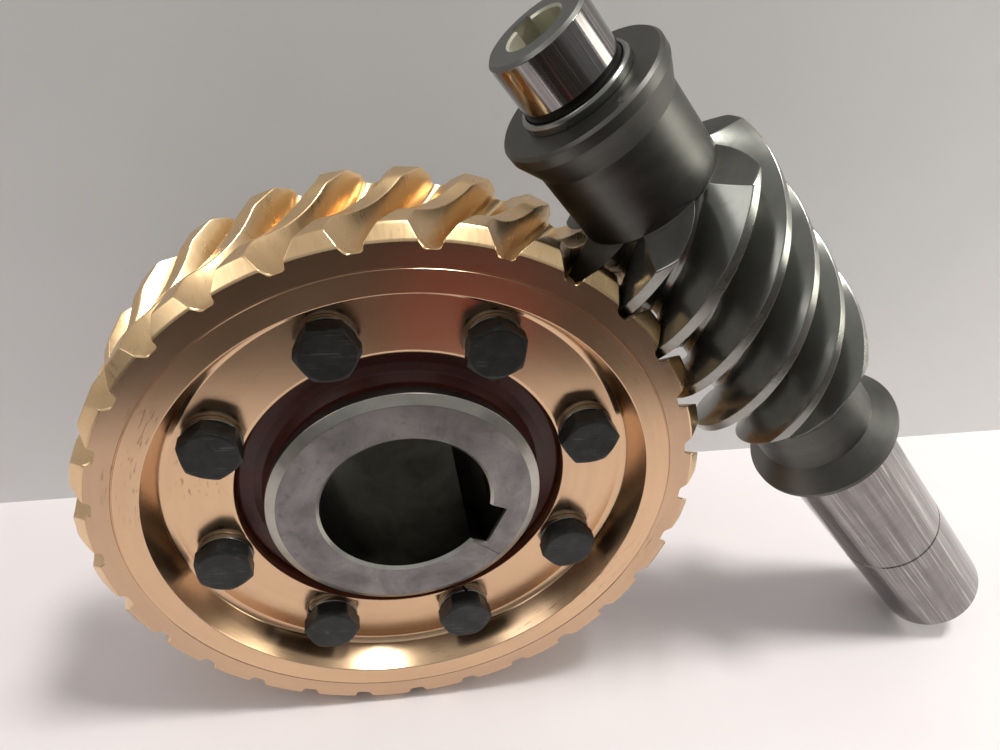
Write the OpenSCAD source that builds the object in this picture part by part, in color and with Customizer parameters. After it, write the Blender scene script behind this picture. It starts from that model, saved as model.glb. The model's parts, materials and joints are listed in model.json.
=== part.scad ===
// Worm gear set: a six-start worm shaft in mesh with a bolted, two-piece
// worm wheel (bronze toothed rim on an iron hub).
// Origin: centre of the wheel bore at the middle of the rim width.
// -Y is the wheel's recessed front face, +Z is up. The worm's axis lies in the
// plane Y = 0 and leans away from the vertical by worm_lean.

/* [Gear data] */
// Centre distance between the wheel axis and the worm axis, mm
centre_dist = 119; // [118.4:0.1:119.6]
// Axial module of the worm, mm
gear_module = 6.3; // [6.25:0.01:6.3]
// Flank angle of the worm thread in its axial section, degrees
flank_angle = 23; // [21:0.5:24]
// Total play between the worm thread and the wheel gap, mm
backlash = 0.6; // [0.5:0.05:0.9]
// Lean of the worm axis from the vertical, degrees
worm_lean = 43.6; // [20:0.1:70]
// Thread position along the worm axis, mm
thread_phase = -1.8; // [-9:0.1:9]

/* [Worm wheel rim] */
// Half of the rim width, mm
rim_half = 23; // [21:0.5:24]
// Largest radius of the teeth, mm
tooth_r = 98.6; // [97.5:0.1:99]
// Throat radius at the middle of the teeth, mm
throat_r = 95.6; // [95.5:0.1:97]
// Outer radius of the flat rim face, mm
face_r = 94.7; // [93.5:0.1:96]
// Radius at the top of the front recess wall, mm
recess_top_r = 79.1; // [77.5:0.1:80.5]
// Radius at the foot of the front recess wall, mm
recess_foot_r = 75.4; // [74.6:0.1:76]
// Distance of the web's front face in front of the middle plane, mm
web_front = 12.2; // [11:0.1:13]
// Inner radius of the bronze web, mm
web_bore_r = 53.5; // [52.5:0.1:54.2]

/* [Hub] */
// Bore diameter, mm
hub_bore_d = 55; // [45:1:58]
// Keyway width, mm
hub_key_w = 16; // [14:1:18]
// Keyway depth beyond the bore wall, mm
hub_key_h = 4.6; // [3.8:0.1:5]
// Direction of the keyway around the wheel axis, degrees
hub_key_turn = -19.1; // [-180:0.1:180]
// Radius of the hub nose, mm
nose_r = 44.1; // [42:0.1:46]
// Distance of the nose face in front of the middle plane, mm
nose_front = 20.8; // [19:0.1:24]
// Distance of the rear boss face behind the middle plane, mm
boss_back = 49.2; // [40:0.2:52]
// Radius of the bolted flange, mm
flange_r = 73.6; // [72:0.1:74]
// Thickness of the bolted flange, mm
flange_t = 12; // [10:0.5:14]

/* [Fasteners] */
// Radius of the bolt circle, mm
bolt_circle_r = 62.8; // [62.4:0.1:63.2]
// Direction of the first bolt around the wheel axis, degrees
bolt_turn = 112.46; // [90:0.1:135]
// Width across the flats of the hexagons, mm
hex_af = 17; // [16:0.5:18]
// Height of the bolt head, mm
head_h = 6.4; // [6:0.1:7.5]
// Thickness of the spring washer, mm
washer_t = 2.1; // [1.8:0.1:2.5]
// Outer radius of the spring washer, mm
washer_r = 9.05; // [8.8:0.05:9.3]
// Height of the nut, mm
nut_h = 8.4; // [8:0.1:9]
// Radius of the bolt shank, mm
shank_r = 5; // [4.8:0.1:5]

/* [Worm shaft] */
// Radius of the thread crests, mm
tip_r = 33.5; // [33:0.1:33.6]
// Radius of the thread roots, mm
root_r = 20.5; // [20:0.1:21]
// Position of the upper end of the full-height threads along the axis, mm
thread_top = 22.9; // [20:0.1:24]
// Position of the lower end of the full-height threads along the axis, mm
thread_low = -59; // [-62:0.5:-52]
// Radius of the neck above the threads, mm
neck_r = 22; // [21.5:0.1:23]
// Radius of the collar above the neck, mm
collar_r = 25.3; // [24:0.1:26]
// Radius of the input journal, mm
input_r = 15; // [14.5:0.1:15]
// Position of the input journal's end face along the axis, mm
input_end = 83.8; // [78:0.1:90]
// Bore diameter in the input journal, mm
input_bore_d = 16; // [14:0.5:17]
// Depth of the bore in the input journal, mm
input_bore_depth = 40; // [30:1:48]
// Radius of the flared collar below the threads, mm
flare_r = 27.6; // [26:0.1:29]
// Radius of the output journal, mm
output_r = 21; // [20:0.1:21.2]
// Position of the output journal's end face along the axis, mm
output_end = -230; // [-240:1:-200]

/* [Hidden] */
$fn = 96;
worm_starts = 6;
wheel_teeth = 29;
axial_pitch = PI * gear_module;
lead = worm_starts * axial_pitch;
wheel_pitch_r = wheel_teeth * gear_module / 2;
worm_ref_r = 27.2;
cut_tip_r = tip_r + 1.5;
throat_arc_r = centre_dist - throat_r;
gap_turn = worm_lean + thread_phase / wheel_pitch_r * 180 / PI;

// Half of the thread's axial width at radius rho
function half_w(rho) = axial_pitch / 4 - (rho - worm_ref_r) * tan(flank_angle);

/* ---- worm thread ---- */

thread_steps = 44;
thread_s0 = thread_low - 25;
thread_s1 = thread_top + 13;
thread_sink_r = root_r - 1.2;
thread_over_r = tip_r + 1;

// Points of one thread: a trapezium carried along the helix
function thread_points() = [
    for (i = [0:thread_steps])
        let (sc = thread_s0 + (thread_s1 - thread_s0) * i / thread_steps,
             th = (sc - thread_phase) / lead * 360)
        for (c = [[thread_sink_r, -1], [thread_over_r, -1], [thread_over_r, 1], [thread_sink_r, 1]])
            [c[0] * cos(th), c[0] * sin(th), sc + c[1] * half_w(c[0])]
];

function thread_faces() = concat(
    [[3, 2, 1], [3, 1, 0]],
    [for (i = [0:thread_steps - 1]) for (k = [0:3])
        for (t = [0, 1])
            let (a = 4 * i + k, b = 4 * i + (k + 1) % 4, c = a + 4, d = b + 4)
            t == 0 ? [a, b, c] : [b, d, c]],
    let (m = 4 * thread_steps) [[m, m + 1, m + 2], [m, m + 2, m + 3]]
);

module thread_bar() {
    polyhedron(points = thread_points(), faces = thread_faces(), convexity = 8);
}

// Turned outline that the threads are trimmed to
module thread_envelope() {
    rotate_extrude()
        polygon([[10, thread_top + 4.2], [neck_r - 0.3, thread_top + 4.1], [tip_r - 0.6, thread_top + 0.2], [tip_r, thread_top - 0.4],
                 [tip_r, thread_low], [neck_r - 0.6, thread_low - 16], [10, thread_low - 16]]);
}

module shaft_core() {
    rotate_extrude()
        polygon([[0, output_end], [output_r - 1.6, output_end], [output_r, output_end + 1.6],
                 [output_r, -173.6], [output_r - 0.4, -173.3], [output_r - 0.4, -172.7], [output_r, -172.4],
                 [output_r, -105.2], [output_r - 0.5, -104.6], [output_r - 0.5, -104],
                 [flare_r - 0.5, -104], [flare_r, -103.5], [flare_r, -101.9], [flare_r - 0.3, -101.6],
                 [21.2, -94.2], [21.2, thread_low - 16.4], [root_r, thread_low - 15.4],
                 [root_r, 25.5], [neck_r, 27],
                 [neck_r, 51.1], [collar_r, 59.3], [collar_r, 62.3], [collar_r - 0.9, 63.2],
                 [input_r, 63.2], [input_r, 66.2], [input_r - 0.7, 66.5], [input_r - 0.7, 67.9], [input_r, 68.2], [input_r, input_end - 1], [input_r - 1, input_end], [0, input_end]]);
}

module keyed_hole(r, depth, w, h, ch) {
    translate([0, 0, -depth]) cylinder(r = r, h = depth + 1);
    translate([0, -w / 2, -depth]) cube([r + h, w, depth + 1]);
    translate([0, 0, -ch]) cylinder(r1 = r, r2 = r + ch + 0.5, h = ch + 0.5);
}

module worm_at_zero() {
    color("dimgray")
    difference() {
        union() {
            shaft_core();
            intersection() {
                union() for (n = [0:worm_starts - 1]) rotate([0, 0, 360 / worm_starts * n]) thread_bar();
                thread_envelope();
            }
        }
        translate([0, 0, input_end]) rotate([0, 0, 100])
            keyed_hole(input_bore_d / 2, input_bore_depth, 5, 2.3, 0.6);
        translate([0, 0, output_end - 1]) cylinder(r = 3.2, h = 9);
        translate([0, 0, output_end - 1]) cylinder(r1 = 7.2, r2 = 3.2, h = 4.5);
    }
}

module worm_frame() {
    translate([centre_dist * cos(worm_lean), 0, centre_dist * sin(worm_lean)])
        rotate([0, -worm_lean, 0]) children();
}

module worm_shaft() { worm_frame() worm_at_zero(); }

module journal_ring() {
    color("gray")
    worm_frame() rotate_extrude()
        polygon([[input_r + 0.06, 63.26], [16.9, 63.26], [16.9, 65.1], [16.6, 65.8], [16, 66.1], [15.7, 66.1], [input_r + 0.06, 65.4]]);
}

/* ---- worm wheel rim ---- */

slices = 8;
slice_w = [for (i = [0:slices]) (rim_half + 1) * (-1 + 2 * i / slices)];
gap_rows = 6;
gap_out_r = tooth_r + 1.5;

// Depth angle range over which the cutting thread reaches radius r in plane w
function psi_end(r, w) =
    let (h = sqrt(max(0, cut_tip_r * cut_tip_r - w * w)), c = (centre_dist - h) / r)
    c >= 1 ? 0 : acos(c);
function gap_floor(w) = centre_dist - sqrt(cut_tip_r * cut_tip_r - w * w);

// Helix shift of the thread at depth h in plane w, mm
function shift(h, w) = -lead * atan2(w, h) / 360;

// One side (sd = -1 or 1) of the gap at radius r in plane w, degrees
function gap_side(r, w, sd) =
    let (pe = psi_end(r, w), n = 24,
         v = [for (i = [0:n])
                let (ps = -pe + 2 * pe * i / n,
                     h = centre_dist - r * cos(ps),
                     rho = sqrt(h * h + w * w))
                ps * PI / 180 - (r * sin(ps) - shift(h, w) - sd * (half_w(rho) + backlash / 2)) / wheel_pitch_r])
    (sd > 0 ? max(v) : min(v)) * 180 / PI;

function polar(r, a, w) = [r * cos(a), w, r * sin(a)];

function gap_ring(w) =
    let (r0 = gap_floor(w) + 0.001)
    concat(
        [for (k = [0:gap_rows - 1]) let (r = gap_out_r + (r0 - gap_out_r) * k / (gap_rows - 1)) polar(r, gap_side(r, w, -1), w)],
        [for (k = [gap_rows - 1:-1:0]) let (r = gap_out_r + (r0 - gap_out_r) * k / (gap_rows - 1)) polar(r, gap_side(r, w, 1), w)]
    );

gap_pts = [for (w = slice_w) each gap_ring(w)];
ring_n = 2 * gap_rows;

gap_faces = concat(
    [for (k = [1:ring_n - 2]) [0, k, k + 1]],
    [for (i = [0:slices - 1]) for (k = [0:ring_n - 1]) for (t = [0, 1])
        let (a = ring_n * i + k, b = ring_n * i + (k + 1) % ring_n, c = a + ring_n, d = b + ring_n)
        t == 0 ? [a, c, b] : [b, c, d]],
    let (m = ring_n * slices) [for (k = [1:ring_n - 2]) [m, m + k + 1, m + k]]
);

module tooth_gap() { polyhedron(points = gap_pts, faces = gap_faces, convexity = 6); }

bevel_w = rim_half - (tooth_r - face_r);

// Lays a profile of [radius, y] points around the Y axis
module around_y() { rotate([-90, 0, 0]) rotate_extrude() children(); }

module rim_blank() {
    around_y()
    difference() {
        polygon([[web_bore_r + 1, -web_front], [recess_foot_r - 1.5, -web_front], [recess_foot_r, -web_front - 1.2],
                 [recess_top_r, -rim_half + 0.4], [recess_top_r + 0.4, -rim_half],
                 [87.3, -rim_half], [87.1, -rim_half + 0.25], [86.9, -rim_half + 0.25], [86.7, -rim_half], [face_r, -rim_half],
                 [tooth_r, -bevel_w], [tooth_r, bevel_w],
                 [face_r, rim_half], [recess_top_r + 0.4, rim_half], [recess_top_r, rim_half - 0.4],
                 [recess_foot_r, 1], [recess_foot_r - 1, 0], [web_bore_r, 0], [web_bore_r, -web_front + 1]]);
        translate([centre_dist, 0]) circle(r = throat_arc_r, $fn = 160);
    }
}

module bolt_spots() {
    for (n = [0:7]) rotate([0, -(bolt_turn - 45 * n), 0]) translate([bolt_circle_r, 0, 0]) children();
}
module bolt_spot(n) {
    rotate([0, -(bolt_turn - 45 * n), 0]) translate([bolt_circle_r, 0, 0]) children();
}
// Cylinder along +Y starting at y0
module ycyl(r, y0, h) { translate([0, y0, 0]) rotate([-90, 0, 0]) cylinder(r = r, h = h); }

module bronze_rim() {
    color("peru")
    difference() {
        rim_blank();
        for (n = [0:wheel_teeth - 1]) rotate([0, -(gap_turn + 360 / wheel_teeth * n), 0]) tooth_gap();
        bolt_spots() ycyl(5.5, -web_front - 1, web_front + 2);
    }
}

/* ---- hub ---- */

module wheel_hub() {
    color("saddlebrown")
    difference() {
        around_y()
            polygon([[20, -nose_front], [nose_r - 3.2, -nose_front], [nose_r, -nose_front + 1.8],
                     [nose_r, -15.5], [nose_r - 1, -14.8], [nose_r - 1, -12], [nose_r + 1.2, -9.2], [nose_r + 4, -8.4],
                     [web_bore_r - 1.1, -8.4], [web_bore_r - 0.06, -7.4], [web_bore_r - 0.06, 0.01],
                     [flange_r - 1, 0.01], [flange_r, 1], [flange_r, flange_t - 1], [flange_r - 1, flange_t],
                     [nose_r + 5, flange_t], [nose_r + 1.4, flange_t + 1.4], [nose_r, flange_t + 5],
                     [nose_r, boss_back - 2], [nose_r - 2, boss_back], [20, boss_back]]);
        ycyl(hub_bore_d / 2, -nose_front - 1, nose_front + boss_back + 2);
        translate([0, -nose_front - 0.01, 0]) rotate([-90, 0, 0]) cylinder(r1 = hub_bore_d / 2 + 1, r2 = hub_bore_d / 2, h = 1);
        translate([0, boss_back - 1, 0]) rotate([-90, 0, 0]) cylinder(r1 = hub_bore_d / 2, r2 = hub_bore_d / 2 + 1, h = 1.01);
        rotate([0, -hub_key_turn, 0]) translate([0, -nose_front - 1, -hub_key_w / 2])
            cube([hub_bore_d / 2 + hub_key_h, nose_front + boss_back + 2, hub_key_w]);
        bolt_spots() ycyl(5.5, -1, flange_t + 2);
    }
}

/* ---- fasteners ---- */

// Turn of each bolt head's hexagon, degrees
head_turn = [5.5, 28, 8.5, 19, 2.5, 59.5, 38.5, 41.5];

// Chamfered hexagon prism along +Y from y0, corners bevelled at the side given by lo and hi
module hex_prism(y0, h, turn, lo, hi) {
    ec = hex_af / sqrt(3);
    intersection() {
        translate([0, y0, 0]) rotate([-90, 0, 0]) rotate([0, 0, -turn]) cylinder(r = ec, h = h, $fn = 6);
        around_y() polygon([[0, y0], [lo ? hex_af / 2 - 0.3 : ec + 1, y0], [lo ? ec + 0.2 : ec + 1, y0 + (lo ? 1.1 : 0)],
                            [hi ? ec + 0.2 : ec + 1, y0 + h - (hi ? 1.1 : 0)], [hi ? hex_af / 2 - 0.3 : ec + 1, y0 + h], [0, y0 + h]]);
    }
}

seat = -web_front - washer_t;

module hex_bolt(n) {
    color([0.12, 0.12, 0.12])
    bolt_spot(n) {
        hex_prism(seat - head_h, head_h - 0.5, head_turn[n] - (bolt_turn - 45 * n), true, false);
        around_y() polygon([[0, seat - 0.6], [hex_af / 2 - 0.3, seat - 0.6], [hex_af / 2 - 0.3, seat], [shank_r, seat],
                            [shank_r, flange_t + nut_h + 1.6], [shank_r - 0.9, flange_t + nut_h + 2.5], [0, flange_t + nut_h + 2.5]]);
    }
}

module spring_washer(n) {
    color("silver")
    bolt_spot(n) difference() {
        around_y() polygon([[5.2, seat], [washer_r - 0.2, seat], [washer_r, seat + 0.2],
                            [washer_r, -web_front - 0.2], [washer_r - 0.2, -web_front], [5.2, -web_front]]);
        rotate([0, 63 * n + 20, 0]) translate([washer_r / 2 + 2, seat + washer_t / 2, 0]) rotate([0, 0, 25]) cube([washer_r, washer_t * 3, 0.9], center = true);
    }
}

module hex_nut(n) {
    color([0.12, 0.12, 0.12])
    bolt_spot(n) difference() {
        hex_prism(flange_t, nut_h, 17 * n, true, true);
        ycyl(shank_r + 0.05, flange_t - 1, nut_h + 2);
    }
}

worm_shaft();
journal_ring();
bronze_rim();
wheel_hub();
hex_bolt(0);  // hex_bolt_1
hex_bolt(1);  // hex_bolt_2
hex_bolt(2);  // hex_bolt_3
hex_bolt(3);  // hex_bolt_4
hex_bolt(4);  // hex_bolt_5
hex_bolt(5);  // hex_bolt_6
hex_bolt(6);  // hex_bolt_7
hex_bolt(7);  // hex_bolt_8
spring_washer(0);  // spring_washer_1
spring_washer(1);  // spring_washer_2
spring_washer(2);  // spring_washer_3
spring_washer(3);  // spring_washer_4
spring_washer(4);  // spring_washer_5
spring_washer(5);  // spring_washer_6
spring_washer(6);  // spring_washer_7
spring_washer(7);  // spring_washer_8
hex_nut(0);  // hex_nut_1
hex_nut(1);  // hex_nut_2
hex_nut(2);  // hex_nut_3
hex_nut(3);  // hex_nut_4
hex_nut(4);  // hex_nut_5
hex_nut(5);  // hex_nut_6
hex_nut(6);  // hex_nut_7
hex_nut(7);  // hex_nut_8
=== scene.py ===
import json
import math

import bmesh
import bpy
import numpy as np
from mathutils import Matrix, Vector
from mathutils.geometry import delaunay_2d_cdt


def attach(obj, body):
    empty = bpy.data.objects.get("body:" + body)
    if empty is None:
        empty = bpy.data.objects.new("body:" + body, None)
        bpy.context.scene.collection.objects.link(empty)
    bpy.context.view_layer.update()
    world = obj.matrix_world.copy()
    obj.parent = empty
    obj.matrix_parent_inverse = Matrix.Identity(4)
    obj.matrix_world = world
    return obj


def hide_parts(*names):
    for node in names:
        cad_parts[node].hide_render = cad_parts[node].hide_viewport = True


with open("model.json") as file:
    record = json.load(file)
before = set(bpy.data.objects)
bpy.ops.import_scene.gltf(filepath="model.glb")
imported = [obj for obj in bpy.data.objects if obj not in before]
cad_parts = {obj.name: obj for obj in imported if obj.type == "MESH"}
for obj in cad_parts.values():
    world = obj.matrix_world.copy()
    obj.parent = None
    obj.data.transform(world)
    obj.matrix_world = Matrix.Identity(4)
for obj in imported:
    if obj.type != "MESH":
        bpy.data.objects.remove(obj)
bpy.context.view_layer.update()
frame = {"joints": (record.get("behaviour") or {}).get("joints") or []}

MM = 0.001
R3 = lambda a: math.radians(a)

# ------------------------------------------------------------------ sizes, mm
joints = {j["name"]: j for j in frame["joints"]}
W_POS = Vector(joints["worm_spin"]["pos_m"]) * 1000
W_AX = Vector(joints["worm_spin"]["axis"]).normalized()
E1 = Vector((W_AX.z, 0, -W_AX.x)).normalized()
LEAN = math.degrees(math.atan2(-W_AX.x, W_AX.z))

A_DIST = W_POS.length
MODULE, STARTS, TEETH = 6.3, 6, 29
PITCH = math.pi * MODULE
LEAD = PITCH * STARTS
PR = TEETH * MODULE / 2
TANF = math.tan(R3(23))
PHASE = -1.8
REF_R, TIP, ROOT, CUT = 27.2, 33.5, 20.5, 35.0
BACKLASH = 0.6
HALF, FACE_R, TOOTH_R, THROAT = 23.0, 94.7, 98.6, 95.6
GAP_TURN = LEAN + math.degrees(PHASE / PR)


def half_w(rho):
    return PITCH / 4 - (rho - REF_R) * TANF


# ------------------------------------------------------------------ mesh help
def make(name, verts, faces, mats, body, face_mats=None, sharp=38, weighted=True):
    me = bpy.data.meshes.new(name)
    bm = bmesh.new()
    vs = [bm.verts.new(v) for v in verts]
    bm.verts.index_update()
    for k, f in enumerate(faces):
        ids = []
        for i in f:
            if i not in ids:
                ids.append(i)
        if len(ids) < 3:
            continue
        try:
            face = bm.faces.new([vs[i] for i in ids])
        except ValueError:
            continue
        face.material_index = 0 if face_mats is None else int(face_mats[k])
        face.smooth = True
    bmesh.ops.remove_doubles(bm, verts=bm.verts, dist=2e-7)
    bmesh.ops.dissolve_degenerate(bm, edges=bm.edges, dist=1e-7)
    loose = [v for v in bm.verts if not v.link_faces]
    bmesh.ops.delete(bm, geom=loose, context="VERTS")
    bmesh.ops.recalc_face_normals(bm, faces=bm.faces)
    bm.to_mesh(me)
    bm.free()
    me.set_sharp_from_angle(angle=R3(sharp))
    for m in mats:
        me.materials.append(m)
    ob = bpy.data.objects.new(name, me)
    bpy.context.scene.collection.objects.link(ob)
    if weighted:
        wn = ob.modifiers.new("weighted", "WEIGHTED_NORMAL")
        wn.keep_sharp = True
        wn.weight = 60
    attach(ob, body)
    return ob


class Skin:
    """Rings of points joined by quads, all in millimetres."""

    def __init__(self):
        self.v, self.f, self.m = [], [], []

    def ring(self, pts):
        a = len(self.v)
        self.v += [tuple(p) for p in pts]
        return list(range(a, a + len(pts)))

    def join(self, a, b, mat=0, closed=True):
        n = len(a)
        for i in range(n if closed else n - 1):
            j = (i + 1) % n
            self.f.append((a[i], a[j], b[j], b[i]))
            self.m.append(mat)

    def fan(self, a, point, mat=0):
        c = len(self.v)
        self.v.append(tuple(point))
        n = len(a)
        for i in range(n):
            self.f.append((a[i], a[(i + 1) % n], c))
            self.m.append(mat)

    def build(self, name, mats, body, tf=None, **kw):
        p = np.array(self.v, float)
        if tf is not None:
            p = tf(p)
        return make(name, (p * MM).tolist(), self.f, mats, body, self.m, **kw)


def soften(points, seg=3):
    """Turns (x, y, radius) corners into small arcs; returns [(x, y)], corner tag kept by order."""
    out = []
    n = len(points)
    for i, p in enumerate(points):
        r = p[2] if len(p) > 2 else 0
        if r <= 0 or i in (0, n - 1):
            out.append((p[0], p[1]))
            continue
        a, b, c = Vector(points[i - 1][:2]), Vector(p[:2]), Vector(points[i + 1][:2])
        u, w = (a - b), (c - b)
        lu, lw = u.length, w.length
        u.normalize(), w.normalize()
        ang = u.angle(w)
        d = min(r / math.tan(ang / 2), lu * 0.45, lw * 0.45)
        p0, p2 = b + u * d, b + w * d
        for k in range(seg + 1):
            t = k / seg
            q = p0 * (1 - t) ** 2 + b * 2 * t * (1 - t) + p2 * t * t
            out.append((q.x, q.y))
    return out


def worm_tf(p):
    o, e, u = np.array(W_POS), np.array(E1), np.array(W_AX)
    y = np.array((0.0, 1.0, 0.0))
    return o + p[:, :1] * e + p[:, 1:2] * y + p[:, 2:3] * u


def polar_y(r, deg, y):
    a = np.radians(deg)
    r, a, y = np.broadcast_arrays(np.asarray(r, float), a, np.asarray(y, float))
    return np.stack([r * np.cos(a), y, r * np.sin(a)], -1)


def polar_z(r, deg, z):
    a = np.radians(deg)
    r, a, z = np.broadcast_arrays(np.asarray(r, float), a, np.asarray(z, float))
    return np.stack([r * np.cos(a), r * np.sin(a), z], -1)


# ------------------------------------------------------------------ materials
def nodes_of(name):
    m = bpy.data.materials.new(name)
    m.use_nodes = True
    nt = m.node_tree
    nt.nodes.clear()
    out = nt.nodes.new("ShaderNodeOutputMaterial")
    bs = nt.nodes.new("ShaderNodeBsdfPrincipled")
    nt.links.new(bs.outputs[0], out.inputs[0])
    return m, nt, bs


class Net:
    def __init__(self, nt):
        self.nt = nt

    def put(self, node, key, val):
        if val is None:
            return
        if isinstance(val, bpy.types.NodeSocket):
            self.nt.links.new(val, node.inputs[key])
        else:
            node.inputs[key].default_value = val

    def coord(self):
        n = self.nt.nodes.new("ShaderNodeTexCoord")
        return n.outputs["Object"]

    def mapping(self, vec, loc=(0, 0, 0), rot=(0, 0, 0), scale=(1, 1, 1)):
        n = self.nt.nodes.new("ShaderNodeMapping")
        self.put(n, "Vector", vec)
        n.inputs["Location"].default_value = loc
        n.inputs["Rotation"].default_value = rot
        n.inputs["Scale"].default_value = scale
        return n.outputs[0]

    def noise(self, vec, scale, detail=4, rough=0.55, distort=0.0, out="Fac"):
        n = self.nt.nodes.new("ShaderNodeTexNoise")
        self.put(n, "Vector", vec)
        n.inputs["Scale"].default_value = scale
        n.inputs["Detail"].default_value = detail
        n.inputs["Roughness"].default_value = rough
        n.inputs["Distortion"].default_value = distort
        return n.outputs[out]

    def voronoi(self, vec, scale, feature="F1", out="Distance"):
        n = self.nt.nodes.new("ShaderNodeTexVoronoi")
        n.feature = feature
        self.put(n, "Vector", vec)
        n.inputs["Scale"].default_value = scale
        return n.outputs[out]

    def math(self, op, a, b=None, c=None, clamp=False):
        n = self.nt.nodes.new("ShaderNodeMath")
        n.operation = op
        n.use_clamp = clamp
        self.put(n, 0, a)
        self.put(n, 1, b)
        self.put(n, 2, c)
        return n.outputs[0]

    def vmath(self, op, a, b=None):
        n = self.nt.nodes.new("ShaderNodeVectorMath")
        n.operation = op
        self.put(n, 0, a)
        self.put(n, 1, b)
        return n.outputs["Value"] if op in ("LENGTH", "DISTANCE", "DOT_PRODUCT") else n.outputs[0]

    def xyz(self, vec):
        n = self.nt.nodes.new("ShaderNodeSeparateXYZ")
        self.put(n, 0, vec)
        return n.outputs

    def join(self, x, y, z):
        n = self.nt.nodes.new("ShaderNodeCombineXYZ")
        self.put(n, 0, x)
        self.put(n, 1, y)
        self.put(n, 2, z)
        return n.outputs[0]

    def range(self, val, a, b, c=0.0, d=1.0, smooth=False):
        n = self.nt.nodes.new("ShaderNodeMapRange")
        n.interpolation_type = "SMOOTHSTEP" if smooth else "LINEAR"
        self.put(n, 0, val)
        for i, x in enumerate((a, b, c, d)):
            n.inputs[i + 1].default_value = x
        return n.outputs[0]

    def ramp(self, fac, stops):
        n = self.nt.nodes.new("ShaderNodeValToRGB")
        self.put(n, 0, fac)
        e = n.color_ramp.elements
        while len(e) < len(stops):
            e.new(0.5)
        for el, (p, c) in zip(e, stops):
            el.position = p
            el.color = (*c, 1) if len(c) == 3 else c
        return n.outputs[0]

    def mix(self, fac, a, b, mode="MIX"):
        n = self.nt.nodes.new("ShaderNodeMix")
        n.data_type = "RGBA"
        n.blend_type = mode
        self.put(n, 0, fac)
        for key, val in ((6, a), (7, b)):
            if isinstance(val, bpy.types.NodeSocket):
                self.nt.links.new(val, n.inputs[key])
            else:
                n.inputs[key].default_value = (*val, 1) if len(val) == 3 else val
        return n.outputs[2]

    def bump(self, height, strength, dist, normal=None):
        n = self.nt.nodes.new("ShaderNodeBump")
        self.put(n, "Height", height)
        n.inputs["Strength"].default_value = strength
        n.inputs["Distance"].default_value = dist
        if normal is not None:
            self.nt.links.new(normal, n.inputs["Normal"])
        return n.outputs[0]


def add(n, a, b, k=1.0):
    return n.math("MULTIPLY_ADD", b, k, a)


def finish_mat(m, nt, bs, base, rough, metallic=1.0, normal=None, aniso=None, tangent=None, coat=None, spec=None):
    n = Net(nt)
    if isinstance(base, bpy.types.NodeSocket):
        nt.links.new(base, bs.inputs["Base Color"])
    else:
        bs.inputs["Base Color"].default_value = (*base, 1)
    n.put(bs, "Roughness", rough)
    n.put(bs, "Metallic", metallic)
    if normal is not None:
        nt.links.new(normal, bs.inputs["Normal"])
    if aniso is not None:
        n.put(bs, "Anisotropic", aniso)
    if tangent is not None:
        nt.links.new(tangent, bs.inputs["Tangent"])
    if spec is not None:
        bs.inputs["Specular IOR Level"].default_value = spec
    if coat is not None:
        bs.inputs["Coat Weight"].default_value = coat[0]
        bs.inputs["Coat Roughness"].default_value = coat[1]
    return m


def axis_coords(n, vec, axis):
    """(distance from the axis, distance along it, angle around it) in metres and radians, for 'wheel' or 'worm'."""
    if axis == "wheel":
        x, y, z = n.xyz(vec)[0:3]
        rad = n.math("SQRT", n.math("ADD", n.math("MULTIPLY", x, x), n.math("MULTIPLY", z, z)))
        return rad, y, n.math("ARCTAN2", z, x)
    p = n.vmath("SUBTRACT", vec, tuple(W_POS * MM))
    s = n.vmath("DOT_PRODUCT", p, tuple(W_AX))
    x = n.vmath("DOT_PRODUCT", p, tuple(E1))
    y = n.xyz(p)[1]
    rad = n.math("SQRT", n.math("ADD", n.math("MULTIPLY", x, x), n.math("MULTIPLY", y, y)))
    return rad, s, n.math("ARCTAN2", y, x)


def turn_tangent(n, vec, axis):
    """Direction across the turning grooves: radial on the wheel's faces, axial on the shaft."""
    if axis == "wheel":
        x, y, z = n.xyz(vec)[0:3]
        v = n.vmath("NORMALIZE", n.join(x, 0.0, z))
    else:
        v = n.join(W_AX.x, W_AX.y, W_AX.z)
    t = n.nt.nodes.new("ShaderNodeVectorTransform")
    t.vector_type = "VECTOR"
    t.convert_from, t.convert_to = "OBJECT", "WORLD"
    n.nt.links.new(v, t.inputs[0])
    return t.outputs[0]


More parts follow.
